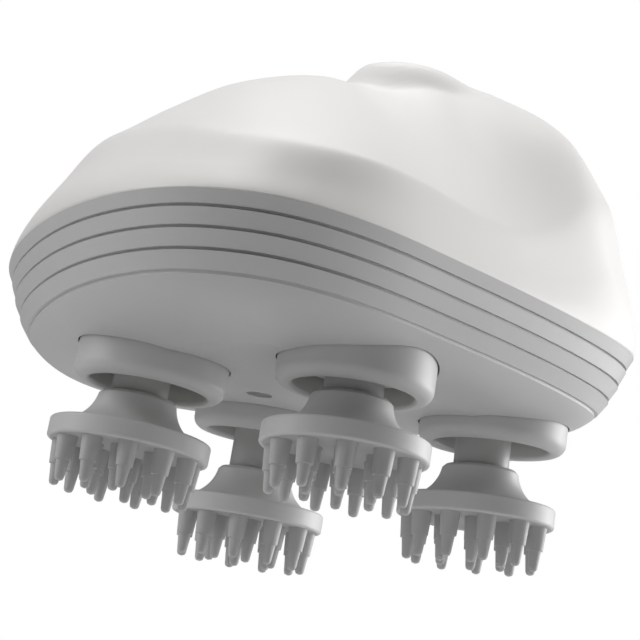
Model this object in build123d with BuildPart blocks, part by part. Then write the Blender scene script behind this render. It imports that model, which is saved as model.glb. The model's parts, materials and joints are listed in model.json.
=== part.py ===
"""Electric scalp massager: a domed body over four soft heads on eccentric, splayed stems.

Frame: +Z up, -Y to the broad nose, +Y to the narrow tail, origin on the ground under the middle.
The drive gear in the middle turns four rotors. Each rotor carries its head round a small circle,
and a spring over the stem lets the head float in and out.
"""

import os
from math import copysign, cos, pi, radians, sin, tan

from build123d import *

os.makedirs("parts", exist_ok=True)

# ---------------------------------------------------------------- driving dimensions (mm)
# Plan of the body at its first groove: a tapered superellipse, broad nose and narrow tail.
HALF_WIDTH = 56.8
HALF_LENGTH = 58.3
TAPER = 0.666
NOSE_FULLNESS = 2.14
TAIL_FULLNESS = 3.77
PLAN_POINTS = 24

# Lower shell: a shallow bowl, three rings and a plain band up to the seam.
BOWL_Z = 29.8
BOWL_HEIGHT = 5.6
BOWL_RISES = (0.0, 1.2, 3.2)
BOWL_INSETS = (24.0, 14.5, 8.0)
RING_HEIGHT = 3.2
RING_INSETS = (4.36, 2.60, 1.13, 0.0)
BAND_HEIGHT = 2.8
BAND_FLARE = 1.1
GROOVE_DEPTH = 0.6
GROOVE_HEIGHT = 0.6
WALL = 2.2

# Top shell, level by level above the seam: how far the side, nose and tail lie inside the seam,
# and how much of the body's taper is left.
DOME_RISES = (0.0, 9.2, 18.2, 27.2, 35.2, 40.7, 45.2, 47.7)
DOME_SIDES = (0.0, 8.0, 16.3, 28.5, 39.6, 46.1, 47.4, 49.0)
DOME_NOSES = (0.0, 2.9, 8.5, 18.6, 29.8, 46.6, 55.3, 58.6)
DOME_TAILS = (0.0, 1.0, 3.4, 6.2, 9.4, 16.7, 31.1, 42.0)
DOME_TAPERS = (1.0, 1.02, 1.08, 1.0, 0.8, 0.5, 0.4, 0.0)
CAVITY_LEVELS = (0, 1, 2, 3, 5, 6)

# Seam gasket.
GASKET_GAP = 1.3
GASKET_WIDTH = 1.2
GASKET_HEIGHT = 2.0

# Drive centre, and the collar, rotor and head round it.
DRIVE_X = 0.6
DRIVE_Y = 1.5
HEAD_CIRCLE = 32.9
SPLAY = 2.0
HEADS = ("front", "right", "rear", "left")
HEAD_ANGLE = {"front": -88.6, "right": -7.2, "rear": 87.0, "left": 183.5}
OPENING_Z = {"front": 24.3, "right": 25.3, "rear": 26.6, "left": 25.7}
HEAD_REACH = {"front": 11.8, "right": 11.4, "rear": 14.1, "left": 16.9}
ECCENTRIC_ANGLE = {"front": -142.0, "right": -15.0, "rear": -140.0, "left": 175.0}
ECCENTRICITY = 1.8
REACH_MIN = 10.8
REACH_MAX = 17.2

# Collar, seal and bearing.
COLLAR_RADIUS = 14.1
COLLAR_ROUND = 2.2
MOUTH_ROUND = 0.8
COLLAR_GAP = 0.3
OPENING_RADIUS = 10.9
BEARING_WALL = 1.6
BEARING_HEIGHT = 8.0
SEAL_OFFSET = 4.4
SEAL_HEIGHT = 1.6
RUNNING_FIT = 0.05

# Rotor: tube, guide and spring chamber.
ROTOR_OFFSET = 3.6
GUIDE_TOP = 11.0
CHAMBER_CLEARANCE = 0.2
CAP_HEIGHT = 1.0
CAP_WALL = 1.2
DECK_GAP = 0.6

# Stem, with its flange on the guide at full reach.
STEM_RADIUS = 5.3
STEM_FLANGE_RADIUS = 6.3
STEM_FLANGE_HEIGHT = 1.4
STEM_SPIGOT_RADIUS = 3.6
STEM_SPIGOT_HEIGHT = 1.6
STEM_SEAT = 3.0
STOP_GAP = 0.2

# Float spring over each stem.
SPRING_RADIUS = 4.9
SPRING_WIRE = 0.45
SPRING_TURNS = 3.5
SPRING_SEAT = 0.2

# Hub and soft pad of a head.
DISC_RADIUS = 15.0
RIM_HEIGHT = 3.7
RIM_ROUND = 0.5
RIM_LIP = 0.8
BELL_HEIGHT = 6.6
BELL_TOP_RADIUS = 7.3
BELL_WAIST_RADIUS = 7.9
BELL_WAIST_HEIGHT = 4.0
BELL_ROUND = 0.6
BELL_SKIRT_RADIUS = 12.0
PAD_HEIGHT = 1.7
PAD_GAP = 0.05
NUB_LENGTH = 8.4
NUB_NECK = 4.5
NUB_ROOT_RADIUS = 1.9
NUB_NECK_RADIUS = 1.55
NUB_STEP_RADIUS = 1.25
NUB_TIP_RADIUS = 0.9
NUB_TIP_ROUND = 0.65
OUTER_NUBS = 11
OUTER_NUB_CIRCLE = 12.1
INNER_NUBS = 6
INNER_NUB_CIRCLE = 6.6

# Deck and gear train.
DECK_Z = 41.2
DECK_THICKNESS = 2.0
DECK_INSET = 6.4
GEAR_CLEARANCE = 1.2
GEAR_WIDTH = 4.4
DRIVE_TEETH = 40
ROTOR_TEETH = 30
STAGE_MODULE = 0.9
WHEEL_TEETH = 42
REDUCTION_PINION_TEETH = 14
REDUCTION_WHEEL_TEETH = 36
MOTOR_PINION_TEETH = 12
STAGE_WIDTH = 3.2
STAGE_GAP = 0.8
STAGE_ANGLE = 225.0
MOTOR_STAGE_ANGLE = 20.0
HUB_RADIUS = 4.0
PINION_HUB_RADIUS = 4.0
AXLE_RADIUS = 1.5
ADDENDUM = 0.9
DEDENDUM = 1.2
TOOTH_SHARE = 0.44
TIP_SHARE = 0.22

# Gearbox cover, its posts and the screws.
COVER_THICKNESS = 2.0
COVER_CLEARANCE = 1.2
COVER_MARGIN = 1.5
POST_RADIUS = 3.0
POSTS = ((18.6, 19.5), (18.6, -16.5), (-17.4, 19.5), (-38.0, -20.0), (-18.5, -38.0))
BOSS_RADIUS = 3.2
BOSSES = ((36.0, -35.0), (-36.0, -35.0), (23.8, 30.0), (-23.8, 30.0))
SHELL_SCREW_SPREAD = 10.0
SCREW_RADIUS = 1.25
SCREW_GAP = 0.1
SCREW_LENGTH = 9.0
SCREW_HEAD_RADIUS = 2.4
SCREW_HEAD_HEIGHT = 1.6

# Motor.
MOTOR_RADIUS = 10.5
MOTOR_HEIGHT = 17.0
MOTOR_ROUND = 1.0
MOTOR_SHAFT_RADIUS = 1.0
MOTOR_SHAFT_DEPTH = 8.0

# Cell across the tail, in its cradle.
CELL_RADIUS = 9.0
CELL_LENGTH = 26.0
CELL_Y = 33.6
CELL_Z = 61.6
CELL_GAP = 0.1
CELL_CAP_RADIUS = 3.0
CELL_CAP_HEIGHT = 1.0
CRADLE_LENGTH = 40.0
CRADLE_WIDTH = 12.0
CRADLE_Z = 51.0
CRADLE_TOP = 57.0
CRADLE_LEG = 2.2

# Circuit board under the crown, switch and power button.
BOARD_LENGTH = 28.0
BOARD_WIDTH = 20.0
BOARD_THICKNESS = 1.6
BOARD_Z = 78.5
BOARD_BOSS_RADIUS = 2.2
BOARD_BOSS_X = 11.0
BOARD_BOSS_Y = 7.0
SWITCH_SIZE = 6.0
SWITCH_HEIGHT = 4.2
SWITCH_KEY_RADIUS = 1.6
SWITCH_KEY_HEIGHT = 0.6
BUTTON_Y = 8.0
BUTTON_RADIUS = 6.4
BUTTON_HEIGHT = 3.4
BUTTON_GAP = 0.25
BUTTON_ROUND = 0.6
BUTTON_TRAVEL = 0.8
PLUNGER_RADIUS = 1.5
BEZEL_WIDTH = 1.4
BEZEL_HEIGHT = 4.6
BEZEL_GAP = 0.05
BUTTON_SPRING_RADIUS = 4.9
BUTTON_SPRING_WIRE = 0.3
BUTTON_SPRING_TURNS = 5

# Charging socket in the tail.
SOCKET_WIDTH = 9.0
SOCKET_HEIGHT = 3.3
SOCKET_DEPTH = 7.5
SOCKET_RISE = 4.6
SOCKET_RECESS = 0.8
SOCKET_WALL = 0.4
SOCKET_GAP = 0.1
TONGUE_WIDTH = 6.6
TONGUE_HEIGHT = 0.7

# ---------------------------------------------------------------- heights that follow
FIRST_GROOVE_Z = BOWL_Z + BOWL_HEIGHT
RING_LEVELS = [FIRST_GROOVE_Z + i * RING_HEIGHT for i in range(len(RING_INSETS))]
SEAM_Z = RING_LEVELS[-1] + BAND_HEIGHT
CROWN_Z = SEAM_Z + DOME_RISES[-1]
FLOOR_Z = BOWL_Z + WALL
DECK_TOP = DECK_Z + DECK_THICKNESS
GEAR_Z = DECK_TOP + GEAR_CLEARANCE
GEAR_MIDDLE_Z = GEAR_Z + GEAR_WIDTH / 2
WHEEL_Z = GEAR_Z + GEAR_WIDTH + CAP_HEIGHT + STAGE_GAP
STAGE_Z = WHEEL_Z + STAGE_WIDTH + STAGE_GAP
COVER_Z = STAGE_Z + STAGE_WIDTH + COVER_CLEARANCE
COVER_TOP = COVER_Z + COVER_THICKNESS
ROTOR_RADIUS = OPENING_RADIUS - BEARING_WALL
HUB_HEIGHT = RIM_HEIGHT + BELL_HEIGHT

# ---------------------------------------------------------------- places that follow
GEAR_MODULE = 2 * HEAD_CIRCLE / (DRIVE_TEETH + ROTOR_TEETH)
STAGE_REACH = STAGE_MODULE * (WHEEL_TEETH + REDUCTION_PINION_TEETH) / 2
REDUCTION_X = DRIVE_X + STAGE_REACH * cos(radians(STAGE_ANGLE))
REDUCTION_Y = DRIVE_Y + STAGE_REACH * sin(radians(STAGE_ANGLE))
MOTOR_REACH = STAGE_MODULE * (REDUCTION_WHEEL_TEETH + MOTOR_PINION_TEETH) / 2
MOTOR_X = REDUCTION_X + MOTOR_REACH * cos(radians(MOTOR_STAGE_ANGLE))
MOTOR_Y = REDUCTION_Y + MOTOR_REACH * sin(radians(MOTOR_STAGE_ANGLE))
SHELL_SCREWS = [
    (DRIVE_X + i * SHELL_SCREW_SPREAD, DRIVE_Y + j * SHELL_SCREW_SPREAD) for i in (-1, 1) for j in (-1, 1)
]
BOARD_BOSSES = [(i * BOARD_BOSS_X, BUTTON_Y + j * BOARD_BOSS_Y) for i in (-1, 1) for j in (-1, 1)]


# ---------------------------------------------------------------- shapes used more than once
def plan_points(side, nose, tail, taper=1.0):
    """Points of the body's plan, moved in from the first groove's outline."""
    half_length = HALF_LENGTH - (nose + tail) / 2
    points = []
    for i in range(PLAN_POINTS):
        angle = 2 * pi * i / PLAN_POINTS
        power = 2 / (NOSE_FULLNESS if sin(angle) < 0 else TAIL_FULLNESS)
        across = copysign(abs(cos(angle)) ** power, cos(angle))
        along = copysign(abs(sin(angle)) ** power, sin(angle))
        x = (HALF_WIDTH - side) * (1 - taper * TAPER * along) * across
        points.append((x, (nose - tail) / 2 + half_length * along))
    return points


def plan_solid(levels, ruled=False):
    """Solid through plan outlines; each level is a height with its side, nose, tail and taper."""
    with BuildPart() as solid:
        for height, *outline in levels:
            with BuildSketch(Plane.XY.offset(height)):
                with BuildLine():
                    Spline(*plan_points(*outline), periodic=True)
                make_face()
        loft(ruled=ruled)
    return solid.part


def even(height, inset):
    """Level with the same inset all round."""
    return (height, inset, inset, inset)


def turned(plane, points):
    """Solid of revolution about the plane's normal, from points of (radius, height)."""
    with BuildPart() as solid:
        with BuildSketch(Plane(origin=plane.origin, x_dir=plane.x_dir, z_dir=-plane.y_dir)):
            with BuildLine():
                Polyline(*points, close=True)
            make_face()
        revolve(axis=Axis(plane.origin, plane.z_dir))
    return solid.part


def tube(plane, inner, outer, low, high):
    """Plain tube along the plane's normal."""
    return turned(plane, ((inner, low), (outer, low), (outer, high), (inner, high)))


def rod(plane, radius, low, high):
    """Plain rod along the plane's normal."""
    return tube(plane, 0, radius, low, high)


def upright(x, y, z=0.0):
    """Level plane at a point."""
    return Plane(origin=(x, y, z))


def gear_points(teeth, module, tooth_angle):
    """Closed outline of a spur gear with one tooth centred on tooth_angle (degrees)."""
    pitch = 360 / teeth
    root = module * (teeth / 2 - DEDENDUM)
    tip = module * (teeth / 2 + ADDENDUM)
    points = []
    root_share = (1 - TOOTH_SHARE) / 2
    for i in range(teeth):
        middle = tooth_angle + i * pitch
        corners = (root, -root_share), (tip, -TIP_SHARE / 2), (tip, TIP_SHARE / 2), (root, root_share)
        for radius, share in corners:
            angle = radians(middle + share * pitch)
            points.append((radius * cos(angle), radius * sin(angle)))
    return points


def coil(plane, radius, wire, low, high, turns):
    """Coil spring along the plane's normal, its wire ends inside low and high."""
    height = high - low - 2 * (wire + SPRING_SEAT)
    path_plane = plane.offset(low + wire + SPRING_SEAT)
    with BuildPart() as spring:
        with BuildLine(path_plane) as path:
            Helix(pitch=height / turns, height=height, radius=radius)
        with BuildSketch(path.line ^ 0):
            Circle(wire)
        sweep(path=path.line, is_frenet=True)
    return spring.part


def head_plane(head, height=0.0, offset=0.0):
    """Plane across a head's axis at its collar's mouth, x towards the stem's offset."""
    angle = radians(HEAD_ANGLE[head])
    lean = radians(SPLAY)
    up = Vector(-sin(lean) * cos(angle), -sin(lean) * sin(angle), cos(lean))
    turn = radians(ECCENTRIC_ANGLE[head])
    side = Vector(cos(turn), sin(turn), 0)
    side = (side - up * side.dot(up)).normalized()
    gear = Vector(DRIVE_X + HEAD_CIRCLE * cos(angle), DRIVE_Y + HEAD_CIRCLE * sin(angle), GEAR_MIDDLE_Z)
    mouth = gear - up * axial(head, GEAR_MIDDLE_Z)
    return Plane(origin=mouth + up * height + side * offset, x_dir=side, z_dir=up)


def axial(head, z):
    """Distance up a head's axis, from its collar's mouth to a height."""
    return (z - OPENING_Z[head]) / cos(radians(SPLAY))


# ---------------------------------------------------------------- lower shell
bowl_levels = [even(BOWL_Z + rise, inset) for rise, inset in zip(BOWL_RISES, BOWL_INSETS)]
bowl_levels.append(even(FIRST_GROOVE_Z, RING_INSETS[0] + GROOVE_DEPTH))
bowl_cavity = [even(level[0] + WALL, level[1] + WALL) for level in bowl_levels]
bowl_cavity.append(even(SEAM_Z + WALL, WALL + GROOVE_DEPTH))
ring_edges = list(zip(RING_LEVELS, RING_INSETS)) + [(SEAM_Z, -BAND_FLARE)]

with BuildPart() as lower_shell:
    add(plan_solid(bowl_levels))
    for (low, low_inset), (high, high_inset) in zip(ring_edges, ring_edges[1:]):
        groove_inset = low_inset + GROOVE_DEPTH
        groove_top = low + GROOVE_HEIGHT
        add(plan_solid([even(low, groove_inset), even(groove_top, groove_inset)], ruled=True))
        add(plan_solid([even(groove_top, low_inset), even(high, high_inset)], ruled=True))
    add(plan_solid(bowl_cavity), mode=Mode.SUBTRACT)
    for x, y in SHELL_SCREWS:
        add(rod(upright(x, y), POST_RADIUS, FLOOR_Z, DECK_Z))
        add(rod(upright(x, y), SCREW_RADIUS + SCREW_GAP, BOWL_Z, DECK_Z), mode=Mode.SUBTRACT)
        add(
            rod(upright(x, y), SCREW_HEAD_RADIUS + SCREW_GAP, BOWL_Z, BOWL_Z + SCREW_HEAD_HEIGHT),
            mode=Mode.SUBTRACT,
        )
    for head in HEADS:
        add(
            rod(head_plane(head), COLLAR_RADIUS + COLLAR_GAP, 0, axial(head, DECK_Z)),
            mode=Mode.SUBTRACT,
        )
lower_shell.part.label = "lower_shell"
export_step(lower_shell.part, "parts/lower_shell.step")

# ---------------------------------------------------------------- top shell
dome = list(zip(DOME_RISES, DOME_SIDES, DOME_NOSES, DOME_TAILS, DOME_TAPERS))
dome_levels = [
    (SEAM_Z + rise, side - BAND_FLARE, nose - BAND_FLARE, tail - BAND_FLARE, taper)
    for rise, side, nose, tail, taper in dome
]
cavity_levels = [
    (height - WALL, side + WALL, nose + WALL, tail + WALL, taper)
    for height, side, nose, tail, taper in [dome_levels[i] for i in CAVITY_LEVELS]
]
socket_face_y = HALF_LENGTH + BAND_FLARE - SOCKET_RECESS
bezel_radius = BUTTON_RADIUS + BUTTON_GAP + BEZEL_WIDTH

with BuildPart() as cavity:
    add(plan_solid(cavity_levels, ruled=True))
    for x, y in BOSSES:
        add(rod(upright(x, y), BOSS_RADIUS, DECK_TOP, CROWN_Z), mode=Mode.SUBTRACT)
    for x, y in BOARD_BOSSES:
        add(
            rod(upright(x, y), BOARD_BOSS_RADIUS, BOARD_Z + BOARD_THICKNESS, CROWN_Z),
            mode=Mode.SUBTRACT,
        )

with BuildPart() as top_shell:
    add(plan_solid(dome_levels))
    add(cavity.part, mode=Mode.SUBTRACT)
    for x, y in BOSSES:
        add(rod(upright(x, y), BOSS_RADIUS, DECK_TOP, SEAM_Z + WALL))
        add(
            rod(upright(x, y), SCREW_RADIUS + SCREW_GAP, DECK_TOP, DECK_TOP + SCREW_LENGTH),
            mode=Mode.SUBTRACT,
        )
    add(
        rod(upright(0, BUTTON_Y), bezel_radius + BEZEL_GAP, CROWN_Z - BEZEL_HEIGHT, CROWN_Z),
        mode=Mode.SUBTRACT,
    )
    add(
        rod(upright(0, BUTTON_Y), BUTTON_RADIUS, BOARD_Z + BOARD_THICKNESS, CROWN_Z),
        mode=Mode.SUBTRACT,
    )
    with BuildSketch(Plane.XZ.offset(-socket_face_y - SOCKET_RECESS)):
        with Locations((0, SEAM_Z + SOCKET_RISE)):
            SlotOverall(SOCKET_WIDTH + 2 * SOCKET_GAP, SOCKET_HEIGHT + 2 * SOCKET_GAP)
    extrude(amount=SOCKET_DEPTH + 2 * SOCKET_RECESS, mode=Mode.SUBTRACT)
top_shell.part.label = "top_shell"
export_step(top_shell.part, "parts/top_shell.step")

# ---------------------------------------------------------------- seam gasket
gasket_inset = WALL + GASKET_GAP + GROOVE_DEPTH
with BuildPart() as shell_gasket:
    for inset, mode in ((gasket_inset, Mode.ADD), (gasket_inset + GASKET_WIDTH, Mode.SUBTRACT)):
        with BuildSketch(Plane.XY.offset(SEAM_Z - GASKET_HEIGHT / 2)):
            with BuildLine():
                Spline(*plan_points(inset, inset, inset), periodic=True)
            make_face()
        extrude(amount=GASKET_HEIGHT, mode=mode)
shell_gasket.part.label = "shell_gasket"
export_step(shell_gasket.part, "parts/shell_gasket.step")

# ---------------------------------------------------------------- chassis plate with its posts
with BuildPart() as chassis_plate:
    with BuildSketch(Plane.XY.offset(DECK_Z)):
        with BuildLine():
            Spline(*plan_points(DECK_INSET, DECK_INSET, DECK_INSET), periodic=True)
        make_face()
    extrude(amount=DECK_THICKNESS)
    for head in HEADS:
        add(
            rod(head_plane(head), ROTOR_RADIUS + DECK_GAP, 0, axial(head, GEAR_MIDDLE_Z)),
            mode=Mode.SUBTRACT,
        )
    for x, y in POSTS:
        add(rod(upright(x, y), POST_RADIUS, DECK_Z, COVER_Z))
        add(
            rod(upright(x, y), SCREW_RADIUS, COVER_TOP - SCREW_LENGTH, COVER_Z),
            mode=Mode.SUBTRACT,
        )
    for x, y in BOSSES:
        add(rod(upright(x, y), SCREW_RADIUS + SCREW_GAP, DECK_Z, DECK_TOP), mode=Mode.SUBTRACT)
    for x, y in SHELL_SCREWS:
        add(rod(upright(x, y), SCREW_RADIUS, DECK_Z, DECK_TOP), mode=Mode.SUBTRACT)
    for x, y in ((DRIVE_X, DRIVE_Y), (REDUCTION_X, REDUCTION_Y)):
        add(rod(upright(x, y), AXLE_RADIUS, DECK_Z, DECK_TOP), mode=Mode.SUBTRACT)
chassis_plate.part.label = "chassis_plate"
export_step(chassis_plate.part, "parts/chassis_plate.step")

# ---------------------------------------------------------------- gearbox cover
with BuildPart() as gearbox_cover:
    with BuildSketch(Plane.XY.offset(COVER_Z)):
        with Locations(*POSTS):
            Circle(POST_RADIUS + COVER_MARGIN)
        make_hull()
    extrude(amount=COVER_THICKNESS)
    for x, y in POSTS:
        add(rod(upright(x, y), SCREW_RADIUS + SCREW_GAP, COVER_Z, COVER_TOP), mode=Mode.SUBTRACT)
    for x, y in ((DRIVE_X, DRIVE_Y), (REDUCTION_X, REDUCTION_Y)):
        add(rod(upright(x, y), AXLE_RADIUS, COVER_Z, COVER_TOP), mode=Mode.SUBTRACT)
    add(
        rod(upright(MOTOR_X, MOTOR_Y), PINION_HUB_RADIUS, COVER_Z, COVER_TOP),
        mode=Mode.SUBTRACT,
    )
gearbox_cover.part.label = "gearbox_cover"
export_step(gearbox_cover.part, "parts/gearbox_cover.step")


# ---------------------------------------------------------------- screws
def screws(places, head_z, direction):
    """Row of screws with the underside of their heads at head_z, shanks going up (1) or down (-1)."""
    with BuildPart() as row:
        for x, y in places:
            seat = Plane(origin=(x, y, head_z), z_dir=(0, 0, direction))
            add(rod(seat, SCREW_HEAD_RADIUS, -SCREW_HEAD_HEIGHT, 0))
            add(rod(seat, SCREW_RADIUS, 0, SCREW_LENGTH))
    return row


deck_screws = screws(BOSSES, DECK_Z, 1)
deck_screws.part.label = "deck_screws"
export_step(deck_screws.part, "parts/deck_screws.step")

cover_screws = screws(POSTS, COVER_TOP, -1)
cover_screws.part.label = "cover_screws"
export_step(cover_screws.part, "parts/cover_screws.step")

with BuildPart() as shell_screws:
    for x, y in SHELL_SCREWS:
        add(rod(upright(x, y), SCREW_HEAD_RADIUS, BOWL_Z, BOWL_Z + SCREW_HEAD_HEIGHT))
        add(rod(upright(x, y), SCREW_RADIUS, BOWL_Z, DECK_TOP))
shell_screws.part.label = "shell_screws"
export_step(shell_screws.part, "parts/shell_screws.step")

# ---------------------------------------------------------------- axles
for name, x, y in (("drive_axle", DRIVE_X, DRIVE_Y), ("reduction_axle", REDUCTION_X, REDUCTION_Y)):
    with BuildPart() as axle:
        add(rod(upright(x, y), AXLE_RADIUS, DECK_Z, COVER_TOP))
    axle.part.label = name
    export_step(axle.part, f"parts/{name}.step")

# ---------------------------------------------------------------- drive gear
bore = AXLE_RADIUS + RUNNING_FIT
with BuildPart() as drive_gear:
    with BuildSketch(upright(DRIVE_X, DRIVE_Y, GEAR_Z)):
        with BuildLine():
            Polyline(*gear_points(DRIVE_TEETH, GEAR_MODULE, 0), close=True)
        make_face()
    extrude(amount=GEAR_WIDTH)
    with BuildSketch(upright(DRIVE_X, DRIVE_Y, WHEEL_Z)):
        with BuildLine():
            Polyline(*gear_points(WHEEL_TEETH, STAGE_MODULE, 0), close=True)
        make_face()
    extrude(amount=STAGE_WIDTH)
    add(rod(upright(DRIVE_X, DRIVE_Y), HUB_RADIUS, DECK_TOP + STAGE_GAP / 2, COVER_Z - STAGE_GAP / 2))
    add(rod(upright(DRIVE_X, DRIVE_Y), bore, DECK_TOP, COVER_Z), mode=Mode.SUBTRACT)
drive_gear.part.label = "drive_gear"
export_step(drive_gear.part, "parts/drive_gear.step")

# ---------------------------------------------------------------- reduction gear
pinion_angle = STAGE_ANGLE + 180 + STAGE_ANGLE * WHEEL_TEETH / REDUCTION_PINION_TEETH
pinion_angle += 180 / REDUCTION_PINION_TEETH
with BuildPart() as reduction_gear:
    with BuildSketch(upright(REDUCTION_X, REDUCTION_Y, WHEEL_Z)):
        with BuildLine():
            Polyline(
                *gear_points(REDUCTION_PINION_TEETH, STAGE_MODULE, pinion_angle),
                close=True,
            )
        make_face()
    extrude(amount=STAGE_WIDTH + STAGE_GAP)
    with BuildSketch(upright(REDUCTION_X, REDUCTION_Y, STAGE_Z)):
        with BuildLine():
            Polyline(*gear_points(REDUCTION_WHEEL_TEETH, STAGE_MODULE, 0), close=True)
        make_face()
    extrude(amount=STAGE_WIDTH)
    add(
        rod(
            upright(REDUCTION_X, REDUCTION_Y),
            PINION_HUB_RADIUS,
            DECK_TOP + STAGE_GAP / 2,
            COVER_Z - STAGE_GAP / 2,
        )
    )
    add(rod(upright(REDUCTION_X, REDUCTION_Y), bore, DECK_TOP, COVER_Z), mode=Mode.SUBTRACT)
reduction_gear.part.label = "reduction_gear"
export_step(reduction_gear.part, "parts/reduction_gear.step")

# ---------------------------------------------------------------- motor pinion on its shaft
motor_tooth = MOTOR_STAGE_ANGLE + 180 + MOTOR_STAGE_ANGLE * REDUCTION_WHEEL_TEETH / MOTOR_PINION_TEETH
motor_tooth += 180 / MOTOR_PINION_TEETH
with BuildPart() as motor_pinion:
    with BuildSketch(upright(MOTOR_X, MOTOR_Y, STAGE_Z)):
        with BuildLine():
            Polyline(*gear_points(MOTOR_PINION_TEETH, STAGE_MODULE, motor_tooth), close=True)
        make_face()
    extrude(amount=STAGE_WIDTH)
    add(rod(upright(MOTOR_X, MOTOR_Y), MOTOR_SHAFT_RADIUS, STAGE_Z, COVER_TOP + MOTOR_SHAFT_DEPTH))
motor_pinion.part.label = "motor_pinion"
export_step(motor_pinion.part, "parts/motor_pinion.step")

# ---------------------------------------------------------------- motor
with BuildPart() as motor:
    add(rod(upright(MOTOR_X, MOTOR_Y), MOTOR_RADIUS, COVER_TOP, COVER_TOP + MOTOR_HEIGHT))
    fillet(motor.edges().sort_by(Axis.Z)[-1], MOTOR_ROUND)
    add(
        rod(
            upright(MOTOR_X, MOTOR_Y),
            MOTOR_SHAFT_RADIUS + RUNNING_FIT,
            COVER_TOP,
            COVER_TOP + MOTOR_SHAFT_DEPTH + STAGE_GAP,
        ),
        mode=Mode.SUBTRACT,
    )
motor.part.label = "motor"
export_step(motor.part, "parts/motor.step")

# ---------------------------------------------------------------- head hub and nub pad, as patterns
with BuildPart() as hub_pattern:
    with BuildSketch(Plane.XZ):
        with BuildLine():
            Polyline(
                (BELL_SKIRT_RADIUS, RIM_HEIGHT),
                (DISC_RADIUS, RIM_HEIGHT),
                (DISC_RADIUS, 0),
                (DISC_RADIUS - RIM_LIP, 0),
                (DISC_RADIUS - RIM_LIP, PAD_HEIGHT),
                (0, PAD_HEIGHT),
                (0, HUB_HEIGHT - STEM_SEAT),
                (STEM_RADIUS + PAD_GAP, HUB_HEIGHT - STEM_SEAT),
                (STEM_RADIUS + PAD_GAP, HUB_HEIGHT),
                (BELL_TOP_RADIUS - BELL_ROUND, HUB_HEIGHT),
                (BELL_TOP_RADIUS, HUB_HEIGHT - BELL_ROUND),
            )
            Spline(
                (BELL_TOP_RADIUS, HUB_HEIGHT - BELL_ROUND),
                (BELL_WAIST_RADIUS, RIM_HEIGHT + BELL_WAIST_HEIGHT),
                (BELL_SKIRT_RADIUS, RIM_HEIGHT),
            )
        make_face()
    revolve(axis=Axis.Z)
    fillet(hub_pattern.edges().filter_by(GeomType.CIRCLE).group_by(SortBy.RADIUS)[-1], RIM_ROUND)

nub_points = (
    (0, PAD_HEIGHT / 2),
    (NUB_ROOT_RADIUS, PAD_HEIGHT / 2),
    (NUB_ROOT_RADIUS, 0),
    (NUB_NECK_RADIUS, -NUB_NECK),
    (NUB_STEP_RADIUS, -NUB_NECK),
    (NUB_TIP_RADIUS, NUB_TIP_ROUND - NUB_LENGTH),
    (NUB_TIP_RADIUS - 0.3 * NUB_TIP_ROUND, 0.3 * NUB_TIP_ROUND - NUB_LENGTH),
    (NUB_TIP_RADIUS - NUB_TIP_ROUND, -NUB_LENGTH),
    (0, -NUB_LENGTH),
)
nub = turned(Plane.XY, nub_points)
with BuildPart() as pad_pattern:
    add(rod(Plane.XY, DISC_RADIUS - RIM_LIP - PAD_GAP, 0, PAD_HEIGHT))
    for circle, count in ((OUTER_NUB_CIRCLE, OUTER_NUBS), (INNER_NUB_CIRCLE, INNER_NUBS)):
        with PolarLocations(circle, count):
            add(nub)

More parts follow.
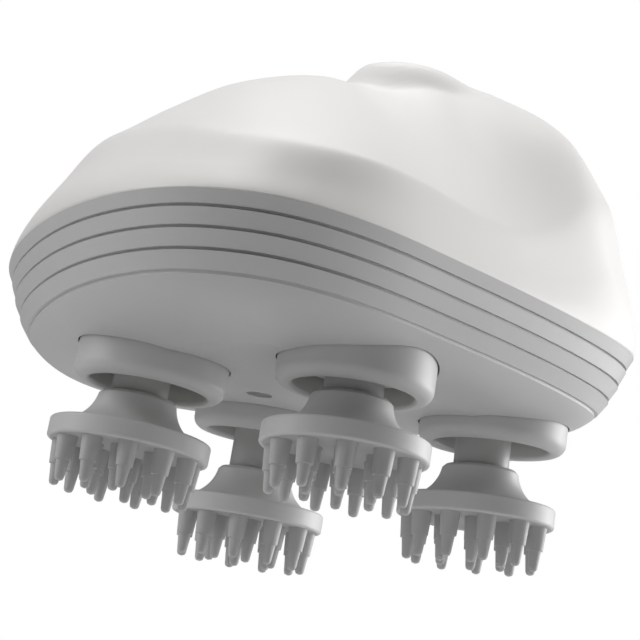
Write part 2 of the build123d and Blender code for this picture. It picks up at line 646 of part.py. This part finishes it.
# ---------------------------------------------------------------- collar, rotor and head, four times
for head in HEADS:
    mouth = head_plane(head)
    stem_plane = head_plane(head, offset=ECCENTRICITY)
    reach = HEAD_REACH[head]

    with BuildPart() as collar:
        add(tube(mouth, OPENING_RADIUS, COLLAR_RADIUS, 0, axial(head, DECK_TOP)))
        for rim, radius in ((0, MOUTH_ROUND), (-1, COLLAR_ROUND)):
            rims = collar.edges().sort_by(Axis(mouth.origin, mouth.z_dir))[:2]
            fillet(rims.sort_by(SortBy.RADIUS)[rim], radius)
        split(bisect_by=Plane.XY.offset(DECK_Z), keep=Keep.BOTTOM)
    collar.part.label = f"collar_{head}"
    export_step(collar.part, f"parts/collar_{head}.step")

    bearing_low = SEAL_OFFSET + SEAL_HEIGHT
    for name, low, high in (
        ("shaft_seal", SEAL_OFFSET, bearing_low),
        ("rotor_bearing", bearing_low, bearing_low + BEARING_HEIGHT),
    ):
        with BuildPart() as sleeve:
            add(tube(mouth, ROTOR_RADIUS + RUNNING_FIT, OPENING_RADIUS - RUNNING_FIT, low, high))
        sleeve.part.label = f"{name}_{head}"
        export_step(sleeve.part, f"parts/{name}_{head}.step")

    gear_low = axial(head, GEAR_MIDDLE_Z) - GEAR_WIDTH / 2
    rotor_top = gear_low + GEAR_WIDTH + CAP_HEIGHT
    chamber_top = rotor_top - CAP_WALL
    drive_angle = HEAD_ANGLE[head]
    rotor_tooth = drive_angle + 180 + drive_angle * DRIVE_TEETH / ROTOR_TEETH + 180 / ROTOR_TEETH
    with BuildPart() as rotor:
        add(rod(mouth, ROTOR_RADIUS, ROTOR_OFFSET, rotor_top))
        with BuildSketch(head_plane(head, gear_low)):
            with BuildLine():
                Polyline(
                    *gear_points(ROTOR_TEETH, GEAR_MODULE, rotor_tooth - ECCENTRIC_ANGLE[head]),
                    close=True,
                )
            make_face()
        extrude(amount=GEAR_WIDTH)
        add(rod(stem_plane, STEM_RADIUS + RUNNING_FIT, ROTOR_OFFSET, GUIDE_TOP), mode=Mode.SUBTRACT)
        add(
            rod(stem_plane, STEM_FLANGE_RADIUS + CHAMBER_CLEARANCE, GUIDE_TOP, chamber_top),
            mode=Mode.SUBTRACT,
        )
    rotor.part.label = f"rotor_{head}"
    export_step(rotor.part, f"parts/rotor_{head}.step")

    flange_low = GUIDE_TOP + STOP_GAP + REACH_MAX - reach
    flange_top = flange_low + STEM_FLANGE_HEIGHT
    stem_low = HUB_HEIGHT - STEM_SEAT - reach
    with BuildPart() as stem:
        add(
            turned(
                stem_plane,
                (
                    (0, stem_low),
                    (STEM_RADIUS, stem_low),
                    (STEM_RADIUS, flange_low),
                    (STEM_FLANGE_RADIUS, flange_low),
                    (STEM_FLANGE_RADIUS, flange_top),
                    (STEM_SPIGOT_RADIUS, flange_top),
                    (STEM_SPIGOT_RADIUS, flange_top + STEM_SPIGOT_HEIGHT),
                    (0, flange_top + STEM_SPIGOT_HEIGHT),
                ),
            )
        )
    stem.part.label = f"stem_{head}"
    export_step(stem.part, f"parts/stem_{head}.step")

    with BuildPart() as float_spring:
        add(coil(stem_plane, SPRING_RADIUS, SPRING_WIRE, flange_top, chamber_top, SPRING_TURNS))
    float_spring.part.label = f"float_spring_{head}"
    export_step(float_spring.part, f"parts/float_spring_{head}.step")

    rim = head_plane(head, -reach, ECCENTRICITY)
    for name, pattern in (("head_hub", hub_pattern), ("nub_pad", pad_pattern)):
        with BuildPart() as piece:
            with Locations(rim.location):
                add(pattern.part)
        piece.part.label = f"{name}_{head}"
        export_step(piece.part, f"parts/{name}_{head}.step")

# ---------------------------------------------------------------- cell and its cradle
cell_plane = Plane(origin=(0, CELL_Y, CELL_Z), x_dir=(0, 1, 0), z_dir=(1, 0, 0))
with BuildPart() as battery:
    add(rod(cell_plane, CELL_RADIUS, -CELL_LENGTH / 2, CELL_LENGTH / 2))
    add(rod(cell_plane, CELL_CAP_RADIUS, CELL_LENGTH / 2, CELL_LENGTH / 2 + CELL_CAP_HEIGHT))
battery.part.label = "battery"
export_step(battery.part, "parts/battery.step")

with BuildPart() as battery_cradle:
    with BuildSketch(Plane.XY.offset(CRADLE_Z)):
        with Locations((0, CELL_Y)):
            Rectangle(CRADLE_LENGTH, CRADLE_WIDTH)
    extrude(amount=CRADLE_TOP - CRADLE_Z)
    with BuildSketch(Plane.XY.offset(DECK_TOP)):
        for side in (-1, 1):
            with Locations((side * (CRADLE_LENGTH - CRADLE_LEG) / 2, CELL_Y)):
                Rectangle(CRADLE_LEG, CRADLE_WIDTH)
    extrude(amount=CRADLE_Z - DECK_TOP)
    add(
        rod(
            cell_plane,
            CELL_RADIUS + CELL_GAP,
            -CELL_LENGTH / 2 - CELL_CAP_HEIGHT - CELL_GAP,
            CELL_LENGTH / 2 + CELL_CAP_HEIGHT + CELL_GAP,
        ),
        mode=Mode.SUBTRACT,
    )
battery_cradle.part.label = "battery_cradle"
export_step(battery_cradle.part, "parts/battery_cradle.step")

# ---------------------------------------------------------------- circuit board and switch
board_top = BOARD_Z + BOARD_THICKNESS
with BuildPart() as circuit_board:
    with BuildSketch(Plane.XY.offset(BOARD_Z)):
        with Locations((0, BUTTON_Y)):
            Rectangle(BOARD_LENGTH, BOARD_WIDTH)
    extrude(amount=BOARD_THICKNESS)
circuit_board.part.label = "circuit_board"
export_step(circuit_board.part, "parts/circuit_board.step")

switch_top = board_top + SWITCH_HEIGHT + SWITCH_KEY_HEIGHT
with BuildPart() as tact_switch:
    with BuildSketch(Plane.XY.offset(board_top)):
        with Locations((0, BUTTON_Y)):
            Rectangle(SWITCH_SIZE, SWITCH_SIZE)
    extrude(amount=SWITCH_HEIGHT)
    add(rod(upright(0, BUTTON_Y), SWITCH_KEY_RADIUS, board_top + SWITCH_HEIGHT, switch_top))
tact_switch.part.label = "tact_switch"
export_step(tact_switch.part, "parts/tact_switch.step")

# ---------------------------------------------------------------- power button, bezel and spring
with BuildPart() as button_bezel:
    add(
        tube(
            upright(0, BUTTON_Y),
            BUTTON_RADIUS + BUTTON_GAP,
            bezel_radius,
            CROWN_Z - BEZEL_HEIGHT,
            CROWN_Z,
        )
    )
button_bezel.part.label = "button_bezel"
export_step(button_bezel.part, "parts/button_bezel.step")

button_low = CROWN_Z - BUTTON_HEIGHT
with BuildPart() as power_button:
    add(rod(upright(0, BUTTON_Y), BUTTON_RADIUS, button_low, CROWN_Z))
    fillet(power_button.edges().sort_by(Axis.Z)[-1], BUTTON_ROUND)
    add(rod(upright(0, BUTTON_Y), PLUNGER_RADIUS, switch_top + BUTTON_TRAVEL + BEZEL_GAP, button_low))
power_button.part.label = "power_button"
export_step(power_button.part, "parts/power_button.step")

with BuildPart() as button_spring:
    add(
        coil(
            upright(0, BUTTON_Y),
            BUTTON_SPRING_RADIUS,
            BUTTON_SPRING_WIRE,
            board_top,
            button_low,
            BUTTON_SPRING_TURNS,
        )
    )
button_spring.part.label = "button_spring"
export_step(button_spring.part, "parts/button_spring.step")

# ---------------------------------------------------------------- charging socket
with BuildPart() as charging_socket:
    for inset, depth, mode in (
        (0, SOCKET_DEPTH, Mode.ADD),
        (SOCKET_WALL, SOCKET_DEPTH - SOCKET_WALL, Mode.SUBTRACT),
    ):
        with BuildSketch(Plane.XZ.offset(-socket_face_y)):
            with Locations((0, SEAM_Z + SOCKET_RISE)):
                SlotOverall(SOCKET_WIDTH - 2 * inset, SOCKET_HEIGHT - 2 * inset)
        extrude(amount=depth, mode=mode)
    with BuildSketch(Plane.XZ.offset(SOCKET_DEPTH - socket_face_y)):
        with Locations((0, SEAM_Z + SOCKET_RISE)):
            Rectangle(TONGUE_WIDTH, TONGUE_HEIGHT)
    extrude(amount=SOCKET_RECESS - SOCKET_DEPTH)
charging_socket.part.label = "charging_socket"
export_step(charging_socket.part, "parts/charging_socket.step")
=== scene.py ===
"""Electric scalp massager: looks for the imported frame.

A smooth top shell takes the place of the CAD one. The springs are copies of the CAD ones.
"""

import json
from math import cos, exp, pi, sin

import bpy
from mathutils import Matrix, Vector


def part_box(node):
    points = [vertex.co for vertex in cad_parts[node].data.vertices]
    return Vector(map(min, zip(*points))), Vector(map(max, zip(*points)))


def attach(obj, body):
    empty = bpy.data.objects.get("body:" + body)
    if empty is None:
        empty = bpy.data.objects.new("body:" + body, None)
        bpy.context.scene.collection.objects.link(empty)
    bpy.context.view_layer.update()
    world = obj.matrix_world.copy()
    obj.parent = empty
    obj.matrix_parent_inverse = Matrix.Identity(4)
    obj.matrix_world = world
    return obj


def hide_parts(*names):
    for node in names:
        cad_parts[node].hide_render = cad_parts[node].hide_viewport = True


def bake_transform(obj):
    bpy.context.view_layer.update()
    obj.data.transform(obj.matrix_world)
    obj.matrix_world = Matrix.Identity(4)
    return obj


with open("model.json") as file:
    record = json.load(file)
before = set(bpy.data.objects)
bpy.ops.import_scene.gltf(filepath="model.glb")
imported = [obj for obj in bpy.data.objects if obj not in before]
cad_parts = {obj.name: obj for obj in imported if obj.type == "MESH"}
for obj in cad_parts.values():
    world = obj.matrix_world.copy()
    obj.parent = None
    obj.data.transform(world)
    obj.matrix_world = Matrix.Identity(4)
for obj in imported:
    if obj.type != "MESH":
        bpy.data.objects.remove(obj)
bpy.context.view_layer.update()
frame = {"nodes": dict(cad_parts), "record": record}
MM = 0.001

# ---------------------------------------------------------------- shape of the body (mm)
HALF_WIDTH = 56.8
HALF_LENGTH = 58.3
TAPER = 0.666
NOSE_FULLNESS = 2.14
TAIL_FULLNESS = 3.77
BAND_FLARE = 1.1
SEAM_Z = 47.8

# Stations along the body: y, crest of the shoulders, crest of the hump, height of the ridge, inset
# of the ridge from the seam, sharpness of the flank below it, power of the crown's fall to it.
STATIONS = (
    (-59.4, 63.6, 63.6, 57.0, 9.0, 0.50, 1.9),
    (-49.4, 67.6, 67.6, 56.6, 8.6, 0.60, 1.9),
    (-39.4, 75.4, 75.4, 57.0, 7.4, 0.75, 1.9),
    (-28.4, 83.0, 83.0, 58.2, 5.8, 0.85, 1.9),
    (-13.4, 88.2, 88.6, 58.8, 4.4, 0.90, 1.9),
    (0.0, 86.6, 90.2, 58.2, 3.8, 0.90, 1.9),
    (8.0, 85.4, 95.2, 57.4, 3.6, 0.90, 1.9),
    (15.0, 84.0, 95.4, 57.0, 3.6, 0.90, 1.9),
    (25.0, 81.4, 95.0, 57.2, 4.0, 0.85, 2.0),
    (40.0, 76.5, 90.6, 59.0, 5.6, 0.70, 2.2),
    (50.0, 70.5, 80.0, 61.5, 7.0, 0.55, 2.4),
    (59.4, 63.5, 69.0, 63.0, 7.6, 0.50, 2.4),
)
HUMP_HALF_WIDTH = 21.0
HUMP_POWER = 2.2
RIDGE_LEAST = 12.0
BLEND = 3.0
# The flank is an early rise, by each station's sharpness, and a late one, by a power of its own.
FLANK_EARLY = 0.8
FLANK_LATE = 0.2
FLANK_LATE_POWER = 3
CROWN_FROM = 0.5  # share of the way to the ridge past which the crown can cap the flank

# The crown is level around the button, and fades into the dome past that radius.
BUTTON_Y = 8.0
BUTTON_LAND_Z = 95.4
BUTTON_LAND_RADIUS = 8.3
BUTTON_LAND_FADE = 6.0
SHELL_WALL = 1.8
SOCKET_Z = 52.4
SOCKET_HALF_WIDTH = 4.6
SOCKET_HALF_HEIGHT = 1.75
SOCKET_SPAN = (49.0, 63.0)
SLOT_POINTS = 12
RAYS = 240
RAY_LIMIT = 120.0
RAY_HALVINGS = 40
LEAN_LEAST = 0.4  # keeps the ridge's inset short where a ray meets the seam at a slant
RINGS = 90
RING_SPACING = 1.5  # above 1, the rings crowd towards the seam


def smooth(t):
    """Smooth step from 0 to 1."""
    t = min(max(t, 0.0), 1.0)
    return t * t * (3 - 2 * t)


def station(y):
    """Values of the stations at y, on a smooth curve through them."""
    y = min(max(y, STATIONS[0][0]), STATIONS[-1][0])
    i = 0
    while i < len(STATIONS) - 2 and y > STATIONS[i + 1][0]:
        i += 1
    before = STATIONS[max(i - 1, 0)]
    low, high = STATIONS[i], STATIONS[i + 1]
    after = STATIONS[min(i + 2, len(STATIONS) - 1)]
    span = high[0] - low[0]
    t = (y - low[0]) / span
    values = []
    for k in range(1, len(low)):
        slope_low = (high[k] - before[k]) / (high[0] - before[0]) * span
        slope_high = (after[k] - low[k]) / (after[0] - low[0]) * span
        values.append(
            (2 * t**3 - 3 * t**2 + 1) * low[k]
            + (t**3 - 2 * t**2 + t) * slope_low
            + (3 * t**2 - 2 * t**3) * high[k]
            + (t**3 - t**2) * slope_high
        )
    return values


def half_width(y):
    """Half of the body's width at y, on the seam's outline."""
    length = HALF_LENGTH + BAND_FLARE
    along = min(max(y / length, -1.0), 1.0)
    power = NOSE_FULLNESS if along < 0 else TAIL_FULLNESS
    across = (1 - abs(along) ** power) ** (1 / power)
    return (HALF_WIDTH + BAND_FLARE) * (1 - TAPER * along) * across


def outline_share(x, y):
    """1 on the seam's outline, less inside it."""
    along = y / (HALF_LENGTH + BAND_FLARE)
    power = NOSE_FULLNESS if along < 0 else TAIL_FULLNESS
    across = abs(x) / ((HALF_WIDTH + BAND_FLARE) * (1 - TAPER * max(min(along, 1), -1)))
    return (across**power + abs(along) ** power) ** (1 / power)


def crown_height(x, y):
    """Height of the crown, with its hump, at a point of the plan."""
    shoulder, crest, ridge, inset, _, power = station(y)
    fall = abs(x) / max(half_width(y) - inset, RIDGE_LEAST)
    hump = exp(-((abs(x) / HUMP_HALF_WIDTH) ** HUMP_POWER))
    return shoulder - (shoulder - ridge) * fall**power + (crest - shoulder) * hump


def ray_length(direction):
    """Distance from the button's axis to the seam's outline."""
    low, high = 0.0, RAY_LIMIT
    for _ in range(RAY_HALVINGS):
        middle = (low + high) / 2
        point = (direction[0] * middle, BUTTON_Y + direction[1] * middle)
        if abs(point[1]) < HALF_LENGTH + BAND_FLARE and outline_share(*point) < 1:
            low = middle
        else:
            high = middle
    return low


def seam_rays():
    """Rays from the button's axis: direction, length to the seam and inset of the ridge."""
    directions = [(cos(2 * pi * i / RAYS), sin(2 * pi * i / RAYS)) for i in range(RAYS)]
    lengths = [ray_length(direction) for direction in directions]
    seam = [(d[0] * r, BUTTON_Y + d[1] * r) for d, r in zip(directions, lengths)]
    rays = []
    for i, direction in enumerate(directions):
        before, after = seam[i - 1], seam[(i + 1) % RAYS]
        tangent = (after[0] - before[0], after[1] - before[1])
        lean = abs(direction[0] * tangent[1] - direction[1] * tangent[0])
        lean /= (tangent[0] ** 2 + tangent[1] ** 2) ** 0.5
        ridge_inset = station(seam[i][1])[3] / max(lean, LEAN_LEAST)
        rays.append((direction, lengths[i], ridge_inset))
    return rays


def shell_height(ray, inset):
    """Height of the top shell: a flank from the seam to the ridge, and the crown inside it."""
    direction, reach, ridge_inset = ray
    x, y = direction[0] * (reach - inset), BUTTON_Y + direction[1] * (reach - inset)
    ridge_reach = reach - ridge_inset
    ridge_x, ridge_y = direction[0] * ridge_reach, BUTTON_Y + direction[1] * ridge_reach
    ridge = crown_height(ridge_x, ridge_y)
    sharpness = station(ridge_y)[4]
    share = max(inset, 0.0) / ridge_inset
    rise = FLANK_EARLY * share**sharpness + FLANK_LATE * share**FLANK_LATE_POWER
    height = SEAM_Z + (ridge - SEAM_Z) * rise
    if share > CROWN_FROM:
        crown = crown_height(x, y)
        overlap = max(BLEND - abs(crown - height), 0) / BLEND
        height = min(crown, height) - overlap * overlap * BLEND / 4
    away = ((x * x + (y - BUTTON_Y) ** 2) ** 0.5 - BUTTON_LAND_RADIUS) / BUTTON_LAND_FADE
    return height + (BUTTON_LAND_Z - height) * (1 - smooth(away))


def make_top_shell():
    """The domed shell, on rays from the button's axis to the seam."""
    vertices, faces = [], []
    for ray in seam_rays():
        direction, reach, _ = ray
        for j in range(RINGS + 1):
            inset = (reach - BUTTON_LAND_RADIUS) * (j / RINGS) ** RING_SPACING
            x, y = direction[0] * (reach - inset), BUTTON_Y + direction[1] * (reach - inset)
            vertices.append((x * MM, y * MM, shell_height(ray, inset) * MM))
    step = RINGS + 1
    for i in range(RAYS):
        following = (i + 1) % RAYS
        for j in range(RINGS):
            here, there = i * step + j, following * step + j
            faces.append((here, there, there + 1, here + 1))
    mesh = bpy.data.meshes.new("dome")
    mesh.from_pydata(vertices, [], faces)
    mesh.validate()
    for polygon in mesh.polygons:
        polygon.use_smooth = True
    dome = bpy.data.objects.new("dome", mesh)
    bpy.context.scene.collection.objects.link(dome)
    wall = dome.modifiers.new("wall", "SOLIDIFY")
    wall.thickness = SHELL_WALL * MM
    wall.offset = -1
    cut(dome, socket_slot())
    return dome


def socket_slot():
    """Round-ended bar along Y, where the charging socket opens in the tail."""
    run = SOCKET_HALF_WIDTH - SOCKET_HALF_HEIGHT
    outline = []
    for side in (1, -1):
        for i in range(SLOT_POINTS + 1):
            turn = pi * i / SLOT_POINTS - pi / 2
            x = side * (run + SOCKET_HALF_HEIGHT * cos(turn))
            outline.append((x, SOCKET_Z + side * SOCKET_HALF_HEIGHT * sin(turn)))
    count = len(outline)
    vertices = [(x * MM, y * MM, z * MM) for y in SOCKET_SPAN for x, z in outline]
    faces = [tuple(range(count)), tuple(range(2 * count - 1, count - 1, -1))]
    for i in range(count):
        following = (i + 1) % count
        faces.append((following, i, i + count, following + count))
    mesh = bpy.data.meshes.new("slot")
    mesh.from_pydata(vertices, [], faces)
    slot = bpy.data.objects.new("slot", mesh)
    bpy.context.scene.collection.objects.link(slot)
    return slot


def cut(piece, tool):
    """Cut a tool out of a piece, and throw the tool away."""
    boolean = piece.modifiers.new("cut", "BOOLEAN")
    boolean.operation = "DIFFERENCE"
    boolean.object = tool
    whole = bpy.context.evaluated_depsgraph_get()
    piece.data = bpy.data.meshes.new_from_object(piece.evaluated_get(whole))
    piece.modifiers.clear()
    bpy.data.objects.remove(tool)


# ---------------------------------------------------------------- materials
RAMP_ENDS = (0.3, 0.7)
BUMP_STRENGTH = 0.4
GRAIN_DETAIL = 2.0
# Noise scales, per metre, and the factors between which a roughness drifts.
PLASTIC_TINT_SCALE = 45
PLASTIC_ROUGHNESS_SCALE = 160
PLASTIC_ROUGHNESS_SPAN = (0.88, 1.12)
METAL_TINT_SCALE = 120
METAL_TINT_SPREAD = 0.04
METAL_ROUGHNESS_SPAN = (0.7, 1.3)
METAL_GRAIN_DEPTH = 0.00001
COAT_ROUGHNESS = 0.12
SUBSURFACE_RADIUS = (0.002, 0.002, 0.002)


def new_material(name):
    """Empty node material and its shader."""
    material = bpy.data.materials.new(name)
    material.use_nodes = True
    shader = material.node_tree.nodes["Principled BSDF"]
    return material, material.node_tree, shader


def noise_node(tree, scale, detail=4.0):
    """Noise on the object's own coordinates."""
    place = tree.nodes.new("ShaderNodeTexCoord")
    noise = tree.nodes.new("ShaderNodeTexNoise")
    noise.inputs["Scale"].default_value = scale
    noise.inputs["Detail"].default_value = detail
    tree.links.new(place.outputs["Object"], noise.inputs["Vector"])
    return noise


def vary(tree, shader, socket, low, high, scale):
    """A value that drifts between low and high over the surface."""
    noise = noise_node(tree, scale)
    span = tree.nodes.new("ShaderNodeMapRange")
    span.inputs["To Min"].default_value = low
    span.inputs["To Max"].default_value = high
    tree.links.new(noise.outputs["Fac"], span.inputs["Value"])
    tree.links.new(span.outputs["Result"], shader.inputs[socket])


def tint(tree, shader, colour, spread, scale):
    """A base colour that drifts a little in lightness."""
    noise = noise_node(tree, scale)
    ramp = tree.nodes.new("ShaderNodeValToRGB")
    for element, position in zip(ramp.color_ramp.elements, RAMP_ENDS):
        element.position = position
    ramp.color_ramp.elements[0].color = [c * (1 - spread) for c in colour] + [1]
    ramp.color_ramp.elements[1].color = [min(c * (1 + spread), 1) for c in colour] + [1]
    tree.links.new(noise.outputs["Fac"], ramp.inputs["Fac"])
    tree.links.new(ramp.outputs["Color"], shader.inputs["Base Color"])


def grain(tree, shader, scale, depth):
    """Fine bump over the surface."""
    noise = noise_node(tree, scale, GRAIN_DETAIL)
    bump = tree.nodes.new("ShaderNodeBump")
    bump.inputs["Strength"].default_value = BUMP_STRENGTH
    bump.inputs["Distance"].default_value = depth
    tree.links.new(noise.outputs["Fac"], bump.inputs["Height"])
    tree.links.new(bump.outputs["Normal"], shader.inputs["Normal"])


def moulded(name, colour, roughness, spread=0.015, grain_scale=2600, depth=0.00002, coat=0.0, soft=0.0):
    """Moulded plastic or silicone."""
    material, tree, shader = new_material(name)
    tint(tree, shader, colour, spread, PLASTIC_TINT_SCALE)
    low, high = (roughness * factor for factor in PLASTIC_ROUGHNESS_SPAN)
    vary(tree, shader, "Roughness", low, high, PLASTIC_ROUGHNESS_SCALE)
    grain(tree, shader, grain_scale, depth)
    shader.inputs["Coat Weight"].default_value = coat
    shader.inputs["Coat Roughness"].default_value = COAT_ROUGHNESS
    shader.inputs["Subsurface Weight"].default_value = soft
    shader.inputs["Subsurface Radius"].default_value = SUBSURFACE_RADIUS
    shader.inputs["Subsurface Scale"].default_value = 1.0
    return material


def metal(name, colour, roughness, scale=900):
    """Drawn or turned metal."""
    material, tree, shader = new_material(name)
    shader.inputs["Metallic"].default_value = 1.0
    tint(tree, shader, colour, METAL_TINT_SPREAD, METAL_TINT_SCALE)
    low, high = (roughness * factor for factor in METAL_ROUGHNESS_SPAN)
    vary(tree, shader, "Roughness", low, high, scale)
    grain(tree, shader, scale * 2, METAL_GRAIN_DEPTH)
    return material


# Colour and roughness, then where they differ from the usual the tint's spread, the grain's scale and depth.
MATERIALS = {
    "shell_white": moulded("shell_white", (0.80, 0.79, 0.775), 0.50, 0.008, 1800, 0.000004, coat=0.04),
    "shell_grey": moulded("shell_grey", (0.55, 0.55, 0.55), 0.46, 0.015, 3200, 0.00001),
    "head_grey": moulded("head_grey", (0.60, 0.60, 0.60), 0.48, 0.02, 3200, 0.00001),
    "nub_silicone": moulded("nub_silicone", (0.50, 0.50, 0.50), 0.55, 0.03, 2600, 0.00001, soft=0.06),
    "stem_plastic": moulded("stem_plastic", (0.46, 0.46, 0.46), 0.42, 0.02),
    "seal_rubber": moulded("seal_rubber", (0.02, 0.02, 0.02), 0.7, 0.1),
    "chassis_plastic": moulded("chassis_plastic", (0.55, 0.55, 0.54), 0.55, 0.03),
    "gear_plastic": moulded("gear_plastic", (0.62, 0.60, 0.52), 0.42, 0.03),
    "button_grey": moulded("button_grey", (0.55, 0.55, 0.55), 0.28, 0.01, coat=0.2),
    "switch_black": moulded("switch_black", (0.015, 0.015, 0.015), 0.45, 0.1),
    "board_green": moulded("board_green", (0.01, 0.09, 0.03), 0.35, 0.1, 800, 0.00003),
    "cell_can": metal("cell_can", (0.10, 0.22, 0.42), 0.35),
    "screw_steel": metal("screw_steel", (0.50, 0.50, 0.52), 0.32),
    "axle_steel": metal("axle_steel", (0.56, 0.56, 0.58), 0.2),
    "spring_steel": metal("spring_steel", (0.58, 0.58, 0.60), 0.25),
    "motor_steel": metal("motor_steel", (0.50, 0.50, 0.52), 0.35),
    "socket_steel": metal("socket_steel", (0.56, 0.56, 0.58), 0.3),
    "pinion_brass": metal("pinion_brass", (0.64, 0.42, 0.15), 0.3),
    "bearing_brass": metal("bearing_brass", (0.55, 0.34, 0.12), 0.4),
    "bezel_chrome": metal("bezel_chrome", (0.72, 0.72, 0.73), 0.14),
}


def dress_nodes():
    """Every CAD node takes its own material slot's finish."""
    for part in frame["record"]["subparts"]:
        node = frame["nodes"][part["node"]]
        node.data.materials.clear()
        node.data.materials.append(MATERIALS[part["material_slot"]])


def make_spring(node, fixed_end_up):
    """A coil in place of a CAD spring: a copy of its mesh, with the CAD spring hidden."""
    low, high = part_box(node)
    middle = ((low[0] + high[0]) / 2, (low[1] + high[1]) / 2)
    start, end = (*middle, low[2]), (*middle, high[2])
    if fixed_end_up:
        start, end = end, start
    coil = bpy.data.objects.new(f"coil_{node}", frame["nodes"][node].data.copy())
    bpy.context.scene.collection.objects.link(coil)
    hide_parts(node)
    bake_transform(coil)


# ---------------------------------------------------------------- camera, floor and light
# The camera was fitted to the grooves, collars and discs of the photo.
CAMERA_PLACE = Vector((463.1, -126.1, -58.2)) * MM
CAMERA_FORWARD = Vector((-0.9443, 0.2539, 0.2094))
CAMERA_UP = Vector((0.1581, -0.2082, 0.9652))
CAMERA_LENS = 146.25
SENSOR_WIDTH = 36
CLIP_START = 0.01
FLOOR_Z = -0.075
FLOOR_SIZE = 6.0
AMBIENT = 0.09
LIGHT_TARGET = (0.0, 0.0, 0.05)
# Softboxes: name, place and size in metres, power in watts.
SOFTBOXES = (
    ("overhead", (-0.12, 0.05, 0.95), (0.8, 0.8), 8.4),
    ("tail", (-0.16, 0.95, 0.22), (0.7, 0.7), 10.0),
    ("nose", (-0.15, -0.90, 0.50), (0.6, 0.6), 4.6),
)


def make_camera():
    """Camera at the product view: from the side, low, and rolled a little."""
    forward = CAMERA_FORWARD.normalized()
    right = forward.cross(CAMERA_UP).normalized()
    up = right.cross(forward)
    data = bpy.data.cameras.new("camera")
    data.lens = CAMERA_LENS
    data.sensor_width = SENSOR_WIDTH
    data.clip_start = CLIP_START
    camera = bpy.data.objects.new("camera", data)
    turn = Matrix((right, up, -forward)).transposed()
    camera.matrix_world = Matrix.Translation(CAMERA_PLACE) @ turn.to_4x4()
    bpy.context.scene.collection.objects.link(camera)
    bpy.context.scene.camera = camera


def make_floor():
    """Plain pale floor, well below the held-up product."""
    half = FLOOR_SIZE / 2
    mesh = bpy.data.meshes.new("floor")
    plan = ((-half, -half), (half, -half), (half, half), (-half, half))
    mesh.from_pydata([(x, y, FLOOR_Z) for x, y in plan], [], [(0, 1, 2, 3)])
    floor = bpy.data.objects.new("floor", mesh)
    bpy.context.scene.collection.objects.link(floor)
    floor.data.materials.append(moulded("floor_pale", (0.56, 0.56, 0.56), 0.8, 0.005, 60, 0.0005))


def softbox(name, place, size, power):
    """Rectangular area light facing the product."""
    data = bpy.data.lights.new(name, "AREA")
    data.shape = "RECTANGLE"
    data.size, data.size_y = size
    data.energy = power
    light = bpy.data.objects.new(name, data)
    light.location = place
    aim = Vector(LIGHT_TARGET) - Vector(place)
    light.rotation_euler = aim.to_track_quat("-Z", "Y").to_euler()
    bpy.context.scene.collection.objects.link(light)


def make_light():
    """White surround that lights softly, a broad softbox overhead and one at each end."""
    world = bpy.data.worlds.new("studio")
    bpy.context.scene.world = world
    world.use_nodes = True
    tree = world.node_tree
    surround = tree.nodes["Background"]
    surround.inputs["Color"].default_value = (1, 1, 1, 1)
    path = tree.nodes.new("ShaderNodeLightPath")
    span = tree.nodes.new("ShaderNodeMapRange")
    span.inputs["To Min"].default_value = AMBIENT
    span.inputs["To Max"].default_value = 1.0
    tree.links.new(path.outputs["Is Camera Ray"], span.inputs["Value"])
    tree.links.new(span.outputs["Result"], surround.inputs["Strength"])
    for name, place, size, power in SOFTBOXES:
        softbox(name, place, size, power)
    bpy.context.scene.view_settings.view_transform = "Standard"


dress_nodes()
dome = make_top_shell()
dome.data.materials.append(MATERIALS["shell_white"])
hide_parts("top_shell")
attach(dome, "housing")
for head in ("front", "right", "rear", "left"):
    make_spring(f"float_spring_{head}", True)
make_spring("button_spring", False)

make_camera()
make_floor()
make_light()
